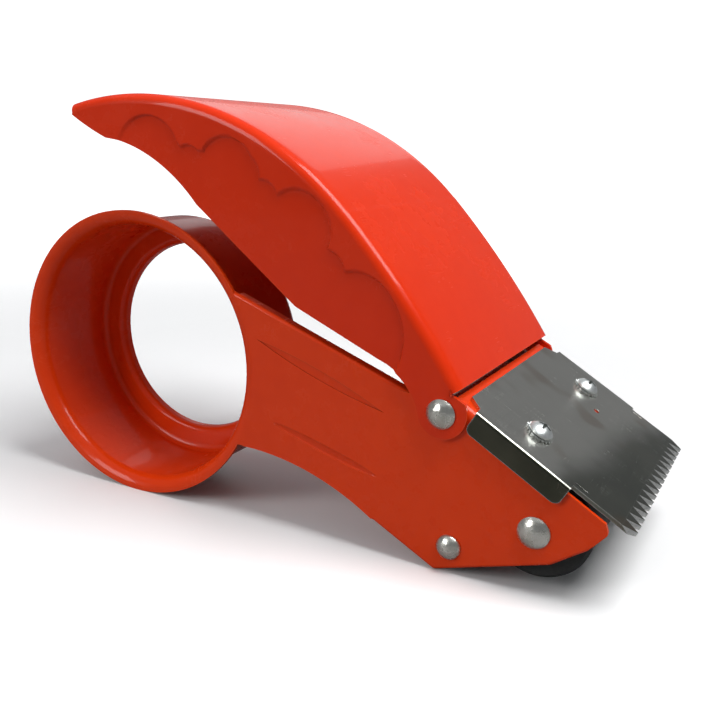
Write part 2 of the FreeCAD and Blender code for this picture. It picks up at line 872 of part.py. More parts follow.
def make_spring():
    """Torsion spring on the pivot rod: one leg under the deck, one hooked in the far wall."""
    wire = SIZES["wire_radius"]
    coil = SIZES["coil_radius"]
    start_y = 48.0
    pitch = 1.3
    start_angle = 90 - SIZES["deck_angle"]
    end_angle = 35.0
    turns = 7 + (end_angle - start_angle) / 360
    helix = Part.makeHelix(pitch, pitch * turns, coil, 0, True)
    helix.Placement = Placement(
        Vector(0, start_y, 0),
        Rotation(Vector(0, 1, 0), -start_angle) * Rotation(Vector(1, 0, 0), -90),
    )
    end_y = start_y + pitch * turns

    def on_coil(angle, y, along=0.0):
        lean = math.radians(angle)
        x = coil * math.cos(lean) - along * math.sin(lean)
        z = coil * math.sin(lean) + along * math.cos(lean)
        return Vector(x, y, z)

    first = on_coil(start_angle, start_y)
    last = on_coil(end_angle, end_y)
    frame_leg = on_coil(start_angle, start_y, -9.0)
    cover_leg = Vector(SPRING_HOOK[0] - PIVOT[0], end_y, SPRING_HOOK[1] - PIVOT[1])
    hook = Vector(cover_leg.x, float(COVER_FAR) + 0.6, cover_leg.z)
    section = Part.Wire(Part.makeCircle(wire, first, first.cross(Vector(0, 1, 0))))
    shape = Part.Wire(helix.Edges).makePipeShell([section], True, True)
    for start, end in ((first, frame_leg), (last, cover_leg), (cover_leg, hook)):
        run = end - start
        shape = shape.fuse(Part.makeCylinder(wire, run.Length, start, run))
        shape = shape.fuse(Part.makeSphere(wire, start))
    spring = doc.addObject("Part::Feature", "cover_spring")
    spring.Label = "cover_spring"
    spring.Shape = shape
    bind_place(spring, PIVOT[0], 0, PIVOT[1])
    return spring


# ---- build, check and write ---------------------------------------------------------------


def make_all():
    under_ear = cell("cover_gap") + SHEET + cell("running_gap")
    under_plate = cell("running_gap")
    pieces = [make_frame(), make_cover(), make_cutter_plate()]
    pieces.append(make_rod("cover_pivot_rod", PIVOT, cell("pivot_head_radius"), under_ear))
    pieces.append(make_rod("guide_rod", GUIDE, cell("guide_head_radius"), under_plate))
    pieces.append(make_rod("roller_axle", AXLE, cell("axle_head_radius"), under_plate))
    pieces += make_front_roller()
    pieces.append(make_guide_sleeve())
    for side, name in ((-1, "near"), (1, "far")):
        pieces.append(make_screw(side, name))
        pieces.append(make_lock_washer(side, name))
        pieces.append(make_nut(side, name))
    pieces.append(make_spring())
    return pieces


def check(pieces):
    for item in doc.Objects:
        if "Invalid" in item.State or "Error" in item.State:
            raise RuntimeError(f"{item.Name} failed: {item.getStatusString()}")
    for piece in pieces:
        shape = piece.Shape
        if shape.isNull() or not shape.isValid() or len(shape.Solids) != 1:
            raise RuntimeError(f"{piece.Label} isn't one sound solid")


pieces = make_all()
doc.recompute()
check(pieces)
os.makedirs("parts", exist_ok=True)
for piece in pieces:
    piece.Shape.exportStep(f"parts/{piece.Label}.step")
print(f"{len(pieces)} pieces; origin {float(ORIGIN_X):.3f}, {float(ORIGIN_Y):.3f}, {-float(RIM):.3f}")
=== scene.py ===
import math

import bmesh
import bpy
import numpy as np
from mathutils import Matrix, Vector


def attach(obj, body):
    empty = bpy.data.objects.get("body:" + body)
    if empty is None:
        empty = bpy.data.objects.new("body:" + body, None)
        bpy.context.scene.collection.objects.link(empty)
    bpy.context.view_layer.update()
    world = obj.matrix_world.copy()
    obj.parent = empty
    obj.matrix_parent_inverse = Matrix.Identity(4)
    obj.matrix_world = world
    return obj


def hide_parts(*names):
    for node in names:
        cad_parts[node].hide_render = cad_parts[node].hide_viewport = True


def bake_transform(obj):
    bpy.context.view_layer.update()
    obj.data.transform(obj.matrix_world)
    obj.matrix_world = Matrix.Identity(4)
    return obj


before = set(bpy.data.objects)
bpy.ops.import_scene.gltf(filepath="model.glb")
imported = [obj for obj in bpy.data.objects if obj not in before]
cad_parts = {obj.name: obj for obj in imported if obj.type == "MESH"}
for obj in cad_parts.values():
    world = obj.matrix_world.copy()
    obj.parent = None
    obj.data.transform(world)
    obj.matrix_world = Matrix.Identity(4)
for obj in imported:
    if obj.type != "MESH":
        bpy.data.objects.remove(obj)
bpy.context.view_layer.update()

# Working drawing: millimetres, drum axis at x = z = 0, near side plate's outer face at y = 0.
DRAWING_ORIGIN = Vector((-49.486, -34.2, 40.0))
MILLIMETRE = 0.001
SHEET = 1.0
OUTSIDE = 68.4
FOLD = Vector((101.5, 0.0, 2.0))
DECK_ANGLE = math.radians(30.3)
PIVOT = (92.9, 0.2)
GUIDE = (96.4, -33.0)
AXLE = (116.7, -24.1)


def place(x, y, z):
    """A point of the working drawing in the row frame, in metres."""
    return (Vector((x, y, z)) + DRAWING_ORIGIN) * MILLIMETRE


def deck_place(along, across, above):
    """A point given along the deck from its fold, across the tool, and square to the deck."""
    cos, sin = math.cos(DECK_ANGLE), math.sin(DECK_ANGLE)
    x = FOLD.x + cos * along + sin * above
    z = FOLD.z - sin * along + cos * above
    return place(x, across, z)


# ---- node trees ---------------------------------------------------------------------------


class Board:
    """Adds nodes to one tree and joins them."""

    def __init__(self, tree):
        self.tree = tree

    def add(self, kind, inputs=None, **settings):
        node = self.tree.nodes.new(kind)
        for name, value in settings.items():
            setattr(node, name, value)
        for name, value in (inputs or {}).items():
            socket = node.inputs[name]
            if isinstance(value, bpy.types.NodeSocket):
                self.tree.links.new(value, socket)
            else:
                socket.default_value = value
        return node

    def math(self, operation, first, second=0.5, third=0.5):
        node = self.add("ShaderNodeMath", {0: first, 1: second, 2: third}, operation=operation)
        return node.outputs[0]

    def ramp(self, value, low, high, out_low=0.0, out_high=1.0, smooth=True):
        """The value spread from one range to another, held at the ends."""
        kind = "SMOOTHSTEP" if smooth else "LINEAR"
        names = {"Value": value, "From Min": low, "From Max": high}
        names.update({"To Min": out_low, "To Max": out_high})
        return self.add("ShaderNodeMapRange", names, interpolation_type=kind).outputs[0]

    def blend(self, share, first, second, blend_type="MIX"):
        node = self.add("ShaderNodeMix", data_type="RGBA", blend_type=blend_type)
        for index, value in ((0, share), (6, first), (7, second)):
            if isinstance(value, bpy.types.NodeSocket):
                self.tree.links.new(value, node.inputs[index])
            else:
                node.inputs[index].default_value = value
        return node.outputs[2]


def shader_group(name, inputs, outputs):
    tree = bpy.data.node_groups.new(name, "ShaderNodeTree")
    for label, value in inputs.items():
        socket = tree.interface.new_socket(label, in_out="INPUT", socket_type="NodeSocketFloat")
        socket.default_value = value
    for label in outputs:
        tree.interface.new_socket(label, in_out="OUTPUT", socket_type="NodeSocketFloat")
    board = Board(tree)
    return tree, board, board.add("NodeGroupInput").outputs, board.add("NodeGroupOutput").inputs


def object_point(board, scale=(1.0, 1.0, 1.0), turn=(0.0, 0.0, 0.0)):
    """Object coordinates in metres, stretched and turned."""
    where = board.add("ShaderNodeTexCoord").outputs["Object"]
    mapping = {"Vector": where, "Scale": scale, "Rotation": turn}
    return board.add("ShaderNodeMapping", mapping).outputs[0]


def noise(board, point, scale, detail=3.0, rough=0.5):
    names = {"Vector": point, "Scale": scale, "Detail": detail, "Roughness": rough}
    return board.add("ShaderNodeTexNoise", names).outputs["Fac"]


def make_mottle_group():
    """Broad soft patches with a finer cloud over them."""
    tree, board, given, result = shader_group(
        "soft_mottle", {"Broad Scale": 40.0, "Fine Scale": 400.0, "Fine Share": 0.3}, ["Value"]
    )
    point = object_point(board)
    broad = board.ramp(noise(board, point, given["Broad Scale"], 2.0), 0.3, 0.7)
    fine = board.ramp(noise(board, point, given["Fine Scale"], 3.0), 0.3, 0.7)
    rest = board.math("SUBTRACT", 1.0, given["Fine Share"])
    mixed = board.math("MULTIPLY", broad, rest)
    total = board.math("MULTIPLY_ADD", fine, given["Fine Share"], mixed)
    tree.links.new(total, result["Value"])
    return tree


def make_peel_group():
    """Height of a sprayed coat: slow waviness, orange peel, and a few dust nibs under it."""
    tree, board, given, result = shader_group(
        "sprayed_coat", {"Wave": 0.5, "Peel": 0.35, "Nibs": 0.4}, ["Height", "Nib Mask"]
    )
    point = object_point(board)
    wave = board.math("MULTIPLY", noise(board, point, 90.0, 1.0), given["Wave"])
    peel = board.math("MULTIPLY", noise(board, point, 620.0, 1.0), given["Peel"])
    cells = board.add("ShaderNodeTexVoronoi", {"Vector": point, "Scale": 210.0}, feature="F1")
    spot = board.ramp(cells.outputs["Distance"], 0.03, 0.085, 1.0, 0.0)
    lot = board.add("ShaderNodeSeparateColor", {0: cells.outputs["Color"]}).outputs[0]
    chosen = board.ramp(lot, 0.93, 0.95)
    nib = board.math("MULTIPLY", spot, chosen)
    raised = board.math("MULTIPLY", nib, given["Nibs"])
    total = board.math("ADD", board.math("ADD", wave, peel), raised)
    tree.links.new(total, result["Height"])
    tree.links.new(nib, result["Nib Mask"])
    return tree


def make_scratch_group():
    """Thin crossing hairlines, broken up so that they come and go."""
    tree, board, given, result = shader_group(
        "hairlines", {"Scale": 260.0, "Amount": 0.5}, ["Mask"]
    )
    found = None
    for turn in (0.35, 1.25, -0.7):
        point = object_point(board, (1.0, 0.05, 1.0), (turn, 0.4 * turn, turn))
        line = noise(board, point, given["Scale"], 2.0, 0.6)
        thin = board.ramp(board.math("ABSOLUTE", board.math("SUBTRACT", line, 0.5)), 0.0, 0.012, 1.0, 0.0)
        found = thin if found is None else board.math("MAXIMUM", found, thin)
    broken = board.ramp(noise(board, object_point(board), 120.0, 2.0), 0.48, 0.62)
    mask = board.math("MULTIPLY", board.math("MULTIPLY", found, broken), given["Amount"])
    tree.links.new(mask, result["Mask"])
    return tree


def make_streak_group():
    """Rolling or turning marks: noise drawn out along one direction by the three stretches."""
    tree, board, given, result = shader_group(
        "drawn_streaks", {"Along X": 1.0, "Along Y": 1.0, "Along Z": 1.0, "Scale": 900.0}, ["Value"]
    )
    where = board.add("ShaderNodeTexCoord").outputs["Object"]
    parts = board.add("ShaderNodeSeparateXYZ", {0: where}).outputs
    pulled = [
        board.math("MULTIPLY", parts[axis], given[label])
        for axis, label in enumerate(("Along X", "Along Y", "Along Z"))
    ]
    point = board.add("ShaderNodeCombineXYZ", dict(enumerate(pulled))).outputs[0]
    tree.links.new(noise(board, point, given["Scale"], 4.0, 0.65), result["Value"])
    return tree


def make_edge_group():
    """Masks for proud edges, rubbed bright on the steel and a painted highlight on the enamel, and for
    inside corners, where painted shade goes.
    """
    tree, board, given, result = shader_group(
        "edge_rub", {"Width": 0.0005, "Breakup": 0.6}, ["Proud", "Tucked"]
    )
    flat = board.add("ShaderNodeNewGeometry").outputs["Normal"]
    rounded = board.add("ShaderNodeBevel", {"Radius": given["Width"]}, samples=6).outputs[0]
    match = board.add("ShaderNodeVectorMath", {0: flat, 1: rounded}, operation="DOT_PRODUCT")
    turned = board.ramp(match.outputs["Value"], 0.86, 0.99, 1.0, 0.0)
    shelter = board.add("ShaderNodeAmbientOcclusion", {"Distance": 0.0022}, samples=6, only_local=True)
    # Sheltered inside corners, found by local occlusion: the mask for painted shade.
    corner_shade = board.ramp(shelter.outputs["AO"], 0.60, 0.96, 1.0, 0.0)
    open_edge = board.math("MULTIPLY", turned, board.math("SUBTRACT", 1.0, corner_shade))
    patchy = noise(board, object_point(board), 300.0, 3.0)
    worn = board.math("SUBTRACT", 1.0, board.math("MULTIPLY", patchy, given["Breakup"]))
    tree.links.new(board.math("MULTIPLY", open_edge, worn), result["Proud"])
    tree.links.new(corner_shade, result["Tucked"])
    return tree


GROUPS = {
    "mottle": make_mottle_group(),
    "peel": make_peel_group(),
    "hairlines": make_scratch_group(),
    "streaks": make_streak_group(),
    "edges": make_edge_group(),
}


def use(board, name, **values):
    node = board.add("ShaderNodeGroup", node_tree=GROUPS[name])
    for label, value in values.items():
        node.inputs[label.replace("_", " ")].default_value = value
    return node.outputs


# ---- finishes -----------------------------------------------------------------------------


def new_finish(name, **constants):
    """A material with its shader and a board to work on."""
    material = bpy.data.materials.new(name)
    material.use_nodes = True
    board = Board(material.node_tree)
    shader = material.node_tree.nodes["Principled BSDF"]
    for label, value in constants.items():
        shader.inputs[label.replace("_", " ")].default_value = value
    return material, board, shader


def feed(board, shader, **sockets):
    for label, socket in sockets.items():
        board.tree.links.new(socket, shader.inputs[label.replace("_", " ")])


def raise_surface(board, shader, height, strength, distance):
    bump = board.add("ShaderNodeBump", {"Height": height, "Strength": strength, "Distance": distance})
    feed(board, shader, Normal=bump.outputs[0])


def shade(red, green, blue):
    return (red, green, blue, 1.0)


def make_enamel(name, deep, light):
    material, board, shader = new_finish(
        name, Coat_Roughness=0.05, Coat_IOR=1.5, Specular_IOR_Level=0.12
    )
    mottle = use(board, "mottle", Broad_Scale=28.0, Fine_Scale=240.0, Fine_Share=0.35)["Value"]
    body = board.blend(mottle, deep, light)
    edges = use(board, "edges", Width=0.00045, Breakup=0.7)
    # Convex edges lightened to a bright orange: painted highlight.
    thin = board.math("MULTIPLY", edges["Proud"], 0.45)
    body = board.blend(thin, body, shade(0.86, 0.16, 0.04))
    # Inside corners darkened to a deep red: painted shade.
    painted_corner_shade = board.math("MULTIPLY", edges["Tucked"], 0.7)
    body = board.blend(painted_corner_shade, body, shade(0.34, 0.016, 0.002))
    coat = use(board, "peel", Wave=0.30, Peel=0.20, Nibs=0.5)
    lines = use(board, "hairlines", Scale=140.0, Amount=0.14)["Mask"]
    rough = board.ramp(mottle, 0.0, 1.0, 0.20, 0.30)
    rough = board.math("ADD", rough, board.math("MULTIPLY", lines, 0.25))
    feed(board, shader, Base_Color=body, Roughness=rough)
    feed(board, shader, Coat_Weight=board.ramp(lines, 0.0, 1.0, 0.26, 0.14))
    raise_surface(board, shader, coat["Height"], 0.35, 0.00012)
    return material


def make_blade_steel():
    """Rolled sheet, darkened towards the blade as a painted dark reflection, with painted shade on the side
    flanges.
    """
    material, board, shader = new_finish("rolled_steel", Metallic=1.0)
    streaks = use(board, "streaks", Along_X=0.03, Along_Y=1.0, Along_Z=0.03, Scale=1900.0)["Value"]
    cloud = use(board, "mottle", Broad_Scale=48.0, Fine_Scale=220.0, Fine_Share=0.15)["Value"]
    where = board.add("ShaderNodeTexCoord").outputs["Object"]
    parts = board.add("ShaderNodeSeparateXYZ", {0: where}).outputs
    # Darker towards the teeth: painted dark reflection.
    slant = board.math("MULTIPLY_ADD", parts[1], -0.15, parts[0])
    along = board.ramp(slant, 0.068, 0.084)
    dark_reflection_share = board.ramp(board.math("MULTIPLY_ADD", cloud, 0.30, along), 0.25, 1.10)
    bare = board.blend(streaks, shade(0.62, 0.61, 0.56), shade(0.74, 0.73, 0.68))
    painted_dark_reflection = board.blend(cloud, shade(0.15, 0.16, 0.135), shade(0.22, 0.225, 0.19))
    body = board.blend(dark_reflection_share, bare, painted_dark_reflection)
    warm = board.ramp(noise(board, where, 70.0, 1.0), 0.58, 0.72, 0.0, 0.40)
    body = board.blend(warm, body, shade(0.34, 0.22, 0.14))
    # The side flanges, past the deck's width, made near black: painted shade.
    side = board.ramp(board.math("ABSOLUTE", parts[1]), 0.03485, 0.0352)
    painted_side_shade = board.blend(cloud, shade(0.060, 0.062, 0.045), shade(0.10, 0.098, 0.072))
    body = board.blend(side, body, painted_side_shade)
    edges = use(board, "edges", Width=0.0004, Breakup=0.25)
    body = board.blend(edges["Proud"], body, shade(0.80, 0.79, 0.76))
    lines = use(board, "hairlines", Scale=200.0, Amount=0.2)["Mask"]
    body = board.blend(board.math("MULTIPLY", lines, 0.3), body, shade(0.50, 0.50, 0.48))
    rough = board.ramp(streaks, 0.3, 0.7, 0.20, 0.27)
    rough = board.math("ADD", rough, board.math("MULTIPLY", lines, 0.12))
    feed(board, shader, Base_Color=body, Roughness=rough)
    height = board.math("MULTIPLY_ADD", streaks, 0.12, cloud)
    raise_surface(board, shader, height, 0.22, 0.00010)
    return material


def make_ground_steel():
    """The freshly ground facets of the teeth."""
    material, board, shader = new_finish("ground_steel", Metallic=1.0)
    streaks = use(board, "streaks", Along_X=0.08, Along_Y=1.0, Along_Z=1.0, Scale=2600.0)["Value"]
    body = board.blend(streaks, shade(0.62, 0.62, 0.60), shade(0.90, 0.90, 0.88))
    feed(board, shader, Base_Color=body, Roughness=board.ramp(streaks, 0.2, 0.8, 0.22, 0.42))
    raise_surface(board, shader, streaks, 0.3, 0.00005)
    return material


def make_rivet_steel():
    material, board, shader = new_finish("rivet_steel", Metallic=1.0)
    cloud = use(board, "mottle", Broad_Scale=260.0, Fine_Scale=1400.0, Fine_Share=0.4)["Value"]
    body = board.blend(cloud, shade(0.56, 0.55, 0.49), shade(0.78, 0.77, 0.71))
    lines = use(board, "hairlines", Scale=900.0, Amount=0.9)["Mask"]
    body = board.blend(board.math("MULTIPLY", lines, 0.5), body, shade(0.9, 0.9, 0.9))
    rough = board.ramp(cloud, 0.0, 1.0, 0.34, 0.20)
    feed(board, shader, Base_Color=body, Roughness=rough)
    raise_surface(board, shader, cloud, 0.3, 0.00012)
    return material


def make_zinc():
    material, board, shader = new_finish("bright_zinc", Metallic=1.0)
    cloud = use(board, "mottle", Broad_Scale=500.0, Fine_Scale=2200.0, Fine_Share=0.45)["Value"]
    body = board.blend(cloud, shade(0.66, 0.70, 0.69), shade(0.92, 0.94, 0.93))
    edges = use(board, "edges", Width=0.0002, Breakup=0.3)
    # Inside corners darkened to near black: painted shade.
    body = board.blend(board.math("MULTIPLY", edges["Tucked"], 0.6), body, shade(0.16, 0.17, 0.16))
    feed(board, shader, Base_Color=body, Roughness=board.ramp(cloud, 0.0, 1.0, 0.44, 0.30))
    raise_surface(board, shader, cloud, 0.25, 0.00006)
    return material


def make_spring_steel():
    material, board, shader = new_finish("spring_wire", Metallic=1.0)
    cloud = use(board, "mottle", Broad_Scale=300.0, Fine_Scale=2400.0, Fine_Share=0.5)["Value"]
    body = board.blend(cloud, shade(0.20, 0.20, 0.20), shade(0.38, 0.38, 0.37))
    feed(board, shader, Base_Color=body, Roughness=board.ramp(cloud, 0.0, 1.0, 0.30, 0.45))
    raise_surface(board, shader, cloud, 0.3, 0.00005)
    return material


def make_rubber():
    material, board, shader = new_finish("roller_rubber", Specular_IOR_Level=0.35)
    cloud = use(board, "mottle", Broad_Scale=110.0, Fine_Scale=1300.0, Fine_Share=0.5)["Value"]
    streaks = use(board, "streaks", Along_X=0.2, Along_Y=1.0, Along_Z=0.2, Scale=1500.0)["Value"]
    body = board.blend(cloud, shade(0.014, 0.015, 0.015), shade(0.036, 0.037, 0.036))
    dust = board.ramp(noise(board, object_point(board), 240.0, 5.0, 0.7), 0.56, 0.74, 0.0, 0.35)
    body = board.blend(dust, body, shade(0.10, 0.095, 0.088))
    feed(board, shader, Base_Color=body, Roughness=board.ramp(cloud, 0.0, 1.0, 0.48, 0.66))
    height = board.math("MULTIPLY_ADD", streaks, 0.7, board.math("MULTIPLY", cloud, 0.4))
    raise_surface(board, shader, height, 0.45, 0.00012)
    return material


def make_plastic(name, dark, light, rough_low, rough_high):
    material, board, shader = new_finish(name)
    cloud = use(board, "mottle", Broad_Scale=160.0, Fine_Scale=1600.0, Fine_Share=0.5)["Value"]
    lines = use(board, "hairlines", Scale=500.0, Amount=0.6)["Mask"]
    body = board.blend(cloud, dark, light)
    rough = board.ramp(cloud, 0.0, 1.0, rough_low, rough_high)
    feed(board, shader, Base_Color=body, Roughness=rough)
    height = board.math("SUBTRACT", cloud, lines)
    raise_surface(board, shader, height, 0.3, 0.00008)
    return material


FINISH = {
    "frame_enamel": make_enamel(
        "orange_frame_enamel", shade(0.76, 0.044, 0.0036), shade(0.81, 0.052, 0.0046)
    ),
    # The cover takes the frame's orange made darker and deeper: painted shade for the cover's walls.
    "cover_enamel": make_enamel(
        "orange_cover_enamel", shade(0.71, 0.029, 0.0020), shade(0.75, 0.034, 0.0026)
    ),
    "blade": make_blade_steel(),
    "ground": make_ground_steel(),
    "rivet": make_rivet_steel(),
    "zinc": make_zinc(),
    "spring": make_spring_steel(),
    "rubber": make_rubber(),
    "nylon": make_plastic("natural_nylon", shade(0.50, 0.48, 0.40), shade(0.62, 0.60, 0.53), 0.38, 0.55),
    "sleeve": make_plastic("sleeve_plastic", shade(0.02, 0.02, 0.022), shade(0.04, 0.04, 0.042), 0.35, 0.5),
}


def dress(obj, finish):
    obj.data.materials.clear()
    obj.data.materials.append(FINISH[finish])


NODE_FINISHES = {
    "zinc": [
        f"{piece}_{side}"
        for piece in ("plate_screw", "plate_nut", "lock_washer", "roller_washer")
        for side in ("near", "far")
    ],
    "nylon": ["roller_core", "roller_bush_near", "roller_bush_far"],
    "rubber": ["roller_tyre"],
    "sleeve": ["guide_sleeve"],
    "rivet": ["cover_pivot_rod", "guide_rod", "roller_axle"],
    "spring": ["cover_spring"],
    "blade": ["cutter_plate"],
    "frame_enamel": ["frame"],
    "cover_enamel": ["cover"],
}
for finish, names in NODE_FINISHES.items():
    for node in names:
        dress(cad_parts[node], finish)


# ---- pieces -------------------------------------------------------------------------------


def new_piece(name, mesh, finish):
    """Turns a bmesh, or mesh data, into a finished object that sits at the origin."""
    if isinstance(mesh, bmesh.types.BMesh):
        data = bpy.data.meshes.new(name)
        mesh.to_mesh(data)
        mesh.free()
    else:
        data = mesh
        data.name = name
    obj = bpy.data.objects.new(name, data)
    bpy.context.scene.collection.objects.link(obj)
    dress(obj, finish)
    return obj


def settle(obj):
    """Bakes an object's modifiers into its mesh."""
    view = bpy.context.evaluated_depsgraph_get()
    data = bpy.data.meshes.new_from_object(obj.evaluated_get(view))
    obj.modifiers.clear()
    old = obj.data
    obj.data = data
    bpy.data.meshes.remove(old)
    return obj


def smooth_by_angle(data, degrees):
    """Soft shading, with sharp lines kept where faces meet at more than an angle."""
    data.polygons.foreach_set("use_smooth", [True] * len(data.polygons))
    data.set_sharp_from_angle(angle=math.radians(degrees))


def flat_faces_stay_flat(obj):
    weighted = obj.modifiers.new("flat_faces", "WEIGHTED_NORMAL")
    weighted.keep_sharp = True
    weighted.weight = 100
    settle(obj)


def soften_edges(obj, width):
    """Breaks the sharp edges with a small bevel and shades the piece to suit."""
    edge = obj.modifiers.new("soft_edges", "BEVEL")
    edge.width = width * MILLIMETRE
    edge.segments = 2
    edge.limit_method = "ANGLE"
    edge.angle_limit = math.radians(38)
    settle(obj)
    smooth_by_angle(obj.data, 42)
    flat_faces_stay_flat(obj)


def skin(mesh, loops):
    """Faces between each closed loop of vertices and the next."""
    for low, high in zip(loops, loops[1:]):
        for step in range(len(low)):
            after = (step + 1) % len(low)
            mesh.faces.new((low[step], low[after], high[after], high[step]))


def cut_away(obj, cutters):
    """Takes the cutters' volumes out of a piece and deletes them."""
    for cutter in cutters:
        cut = obj.modifiers.new("cut", "BOOLEAN")
        cut.operation = "DIFFERENCE"
        cut.solver = "EXACT"
        cut.object = cutter
    settle(obj)
    for cutter in cutters:
        bpy.data.objects.remove(cutter)


def merged_copy(node):
    """A bmesh of a CAD node with its loose triangles joined and flat areas made one face."""
    mesh = bmesh.new()
    mesh.from_mesh(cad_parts[node].data)
    bmesh.ops.remove_doubles(mesh, verts=mesh.verts, dist=2e-6)
    bmesh.ops.dissolve_limit(
        mesh, angle_limit=math.radians(0.25), verts=mesh.verts, edges=mesh.edges
    )
    return mesh


# ---- cover: pressed leaf with scalloped walls ---------------------------------------------


def arc_points(start, through, end, count):
    """Points along the circle through three points, from the first to the last."""
    ax, az = start
    bx, bz = through
    cx, cz = end
    d = 2 * (ax * (bz - cz) + bx * (cz - az) + cx * (az - bz))
    a2, b2, c2 = ax * ax + az * az, bx * bx + bz * bz, cx * cx + cz * cz
    ux = (a2 * (bz - cz) + b2 * (cz - az) + c2 * (az - bz)) / d
    uz = (a2 * (cx - bx) + b2 * (ax - cx) + c2 * (bx - ax)) / d
    radius = math.hypot(ax - ux, az - uz)
    first = math.atan2(az - uz, ax - ux)
    middle = (math.atan2(bz - uz, bx - ux) - first) % (2 * math.pi)
    last = (math.atan2(cz - uz, cx - ux) - first) % (2 * math.pi)
    if middle > last:
        last -= 2 * math.pi
    angles = [first + last * step / (count - 1) for step in range(count)]
    return [(ux + radius * math.cos(a), uz + radius * math.sin(a)) for a in angles]


def even_points(path, count):
    """The same path with points at even spacing."""
    path = np.array(path, float)
    steps = np.hypot(*np.diff(path, axis=0).T)
    keep = np.concatenate(([True], steps > 1e-9))
    path = path[keep]
    run = np.concatenate(([0.0], np.cumsum(np.hypot(*np.diff(path, axis=0).T))))
    at = np.linspace(0, run[-1], count)
    return np.stack([np.interp(at, run, path[:, axis]) for axis in (0, 1)], axis=1)


CROWN_TIP, CROWN_JOINT, CROWN_FRONT = (-18.5, 67.1), (65.66, 44.7), (97.2, 6.6)
CROWN_CENTRES = ((4.25, -16.9, 87.0), (-115.7, -137.25, 257.0))
CROWN_BEND = 2.6
WALL_TIP = (-18.0, 64.2)
COVER_NEAR = -1.3
COVER_FAR = OUTSIDE + 1.3
SCALLOPS = (
    ((-1.6, 58.9), (7.9, 64.7), (16.8, 58.6)),
    ((18.3, 56.9), (20.9, 57.8), (23.4, 56.6)),
    ((25.0, 56.4), (31.6, 60.3), (39.3, 56.0)),
    ((39.3, 56.0), (41.3, 53.6), (41.9, 50.4)),
    ((41.9, 50.4), (44.7, 50.0), (47.1, 46.9)),
    ((47.1, 46.9), (52.6, 48.8), (58.5, 46.6)),
    ((58.5, 46.6), (61.9, 41.8), (61.3, 35.3)),
    ((61.3, 35.3), (64.6, 33.7), (66.1, 30.3)),
    ((66.1, 30.3), (73.0, 30.2), (78.6, 26.0)),
    ((78.6, 26.0), (82.1, 18.6), (80.6, 8.5)),
)
SPRING_HOOK = (87.4, 13.5)
SPRING_HOLE = 0.75
PIVOT_HOLE = 2.25
SCALLOP_DEPTH = 0.7
SCALLOP_STEP = 0.55
SCALLOPS_FADE_FROM, SCALLOPS_FADE_OVER = -6.0, 9.0
# How sharply the wall's grid gives way to its end edges: higher keeps the change nearer the end.
TIP_HOLD = 14
FRONT_HOLD = 110
BEYOND = 9.0


def crown_path(count):
    """Points down the crown line, with the direction that faces out at each."""
    line = []
    ends = ((CROWN_TIP, CROWN_JOINT), (CROWN_JOINT, CROWN_FRONT))
    for (cx, cz, radius), (start, end) in zip(CROWN_CENTRES, ends):
        a = math.atan2(start[1] - cz, start[0] - cx)
        b = math.atan2(end[1] - cz, end[0] - cx)
        for lean in np.linspace(a, b, 200):
            line.append((cx + radius * math.cos(lean), cz + radius * math.sin(lean)))
    line = even_points(line, count)
    along = np.gradient(line, axis=0)
    along /= np.linalg.norm(along, axis=1)[:, None]
    outward = np.stack([-along[:, 1], along[:, 0]], axis=1)
    return line, outward


def lower_edge_path():
    """The wall's free edge, from the tip back under the ear."""
    ear = arc_points((87.07, -1.92), (89.0, -4.65), (92.9, -6.0), 12)
    path = arc_points(WALL_TIP, (-12.6, 61.3), (-6.4, 58.6), 12)
    path += [(-2.7, 58.2)]
    path += arc_points((-2.7, 58.2), (11.4, 52.5), (22.6, 43.2), 24)
    path += [(52.6, 20.4), (76.2, 10.4)]
    path += arc_points((76.2, 10.4), (83.5, 5.6), (87.07, -1.92), 16)
    return path + ear


def ear_front_path(start):
    """The wall's front end, from the crown round the pivot to the bottom of the ear."""
    path = [tuple(start), (98.55, 3.4)]
    return path + arc_points((98.55, 3.4), (98.2, -3.1), (92.9, -6.0), 20)


def wall_patch(top, along_count, down_count):
    """A smooth grid of points over one wall, fitted between its four edges."""
    bottom = even_points(lower_edge_path(), along_count)
    tip = even_points([tuple(top[0]), WALL_TIP], down_count)
    front = even_points(ear_front_path(top[-1]), down_count)
    s = np.linspace(0, 1, along_count)[:, None, None]
    t = np.linspace(0, 1, down_count)[None, :, None]
    ruled = (1 - t) * top[:, None, :] + t * bottom[:, None, :]
    pull_to_tip = (1 - s) ** TIP_HOLD * (tip[None, :, :] - ruled[:1])
    pull_to_front = s**FRONT_HOLD * (front[None, :, :] - ruled[-1:])
    return ruled + pull_to_tip + pull_to_front


def scallop_outline():
    """The arcs along the top of the pressed panel, closed well below the wall's free edge."""
    line = []
    for start, through, end in SCALLOPS:
        line += arc_points(start, through, end, 18)
    return np.array(line + [(70.0, -10.0), (-12.0, 40.0)], float)


def inside_depth(points, outline):
    """How far each point is inside a closed outline: below zero outside it."""
    start = outline
    end = np.roll(outline, -1, axis=0)
    run = end - start
    offset = points[:, None, :] - start[None, :, :]
    share = np.clip((offset * run).sum(2) / (run * run).sum(1), 0, 1)
    gap = np.linalg.norm(offset - share[:, :, None] * run, axis=2).min(1)
    x, z = points[:, :1], points[:, 1:]
    spans = (start[:, 1] > z) != (end[:, 1] > z)
    rise = np.where(np.abs(run[:, 1]) < 1e-12, 1e-12, run[:, 1])
    crossing = start[:, 0] + (z - start[:, 1]) * run[:, 0] / rise
    inside = (spans & (x < crossing)).sum(1) % 2 == 1
    return np.where(inside, gap, -gap)


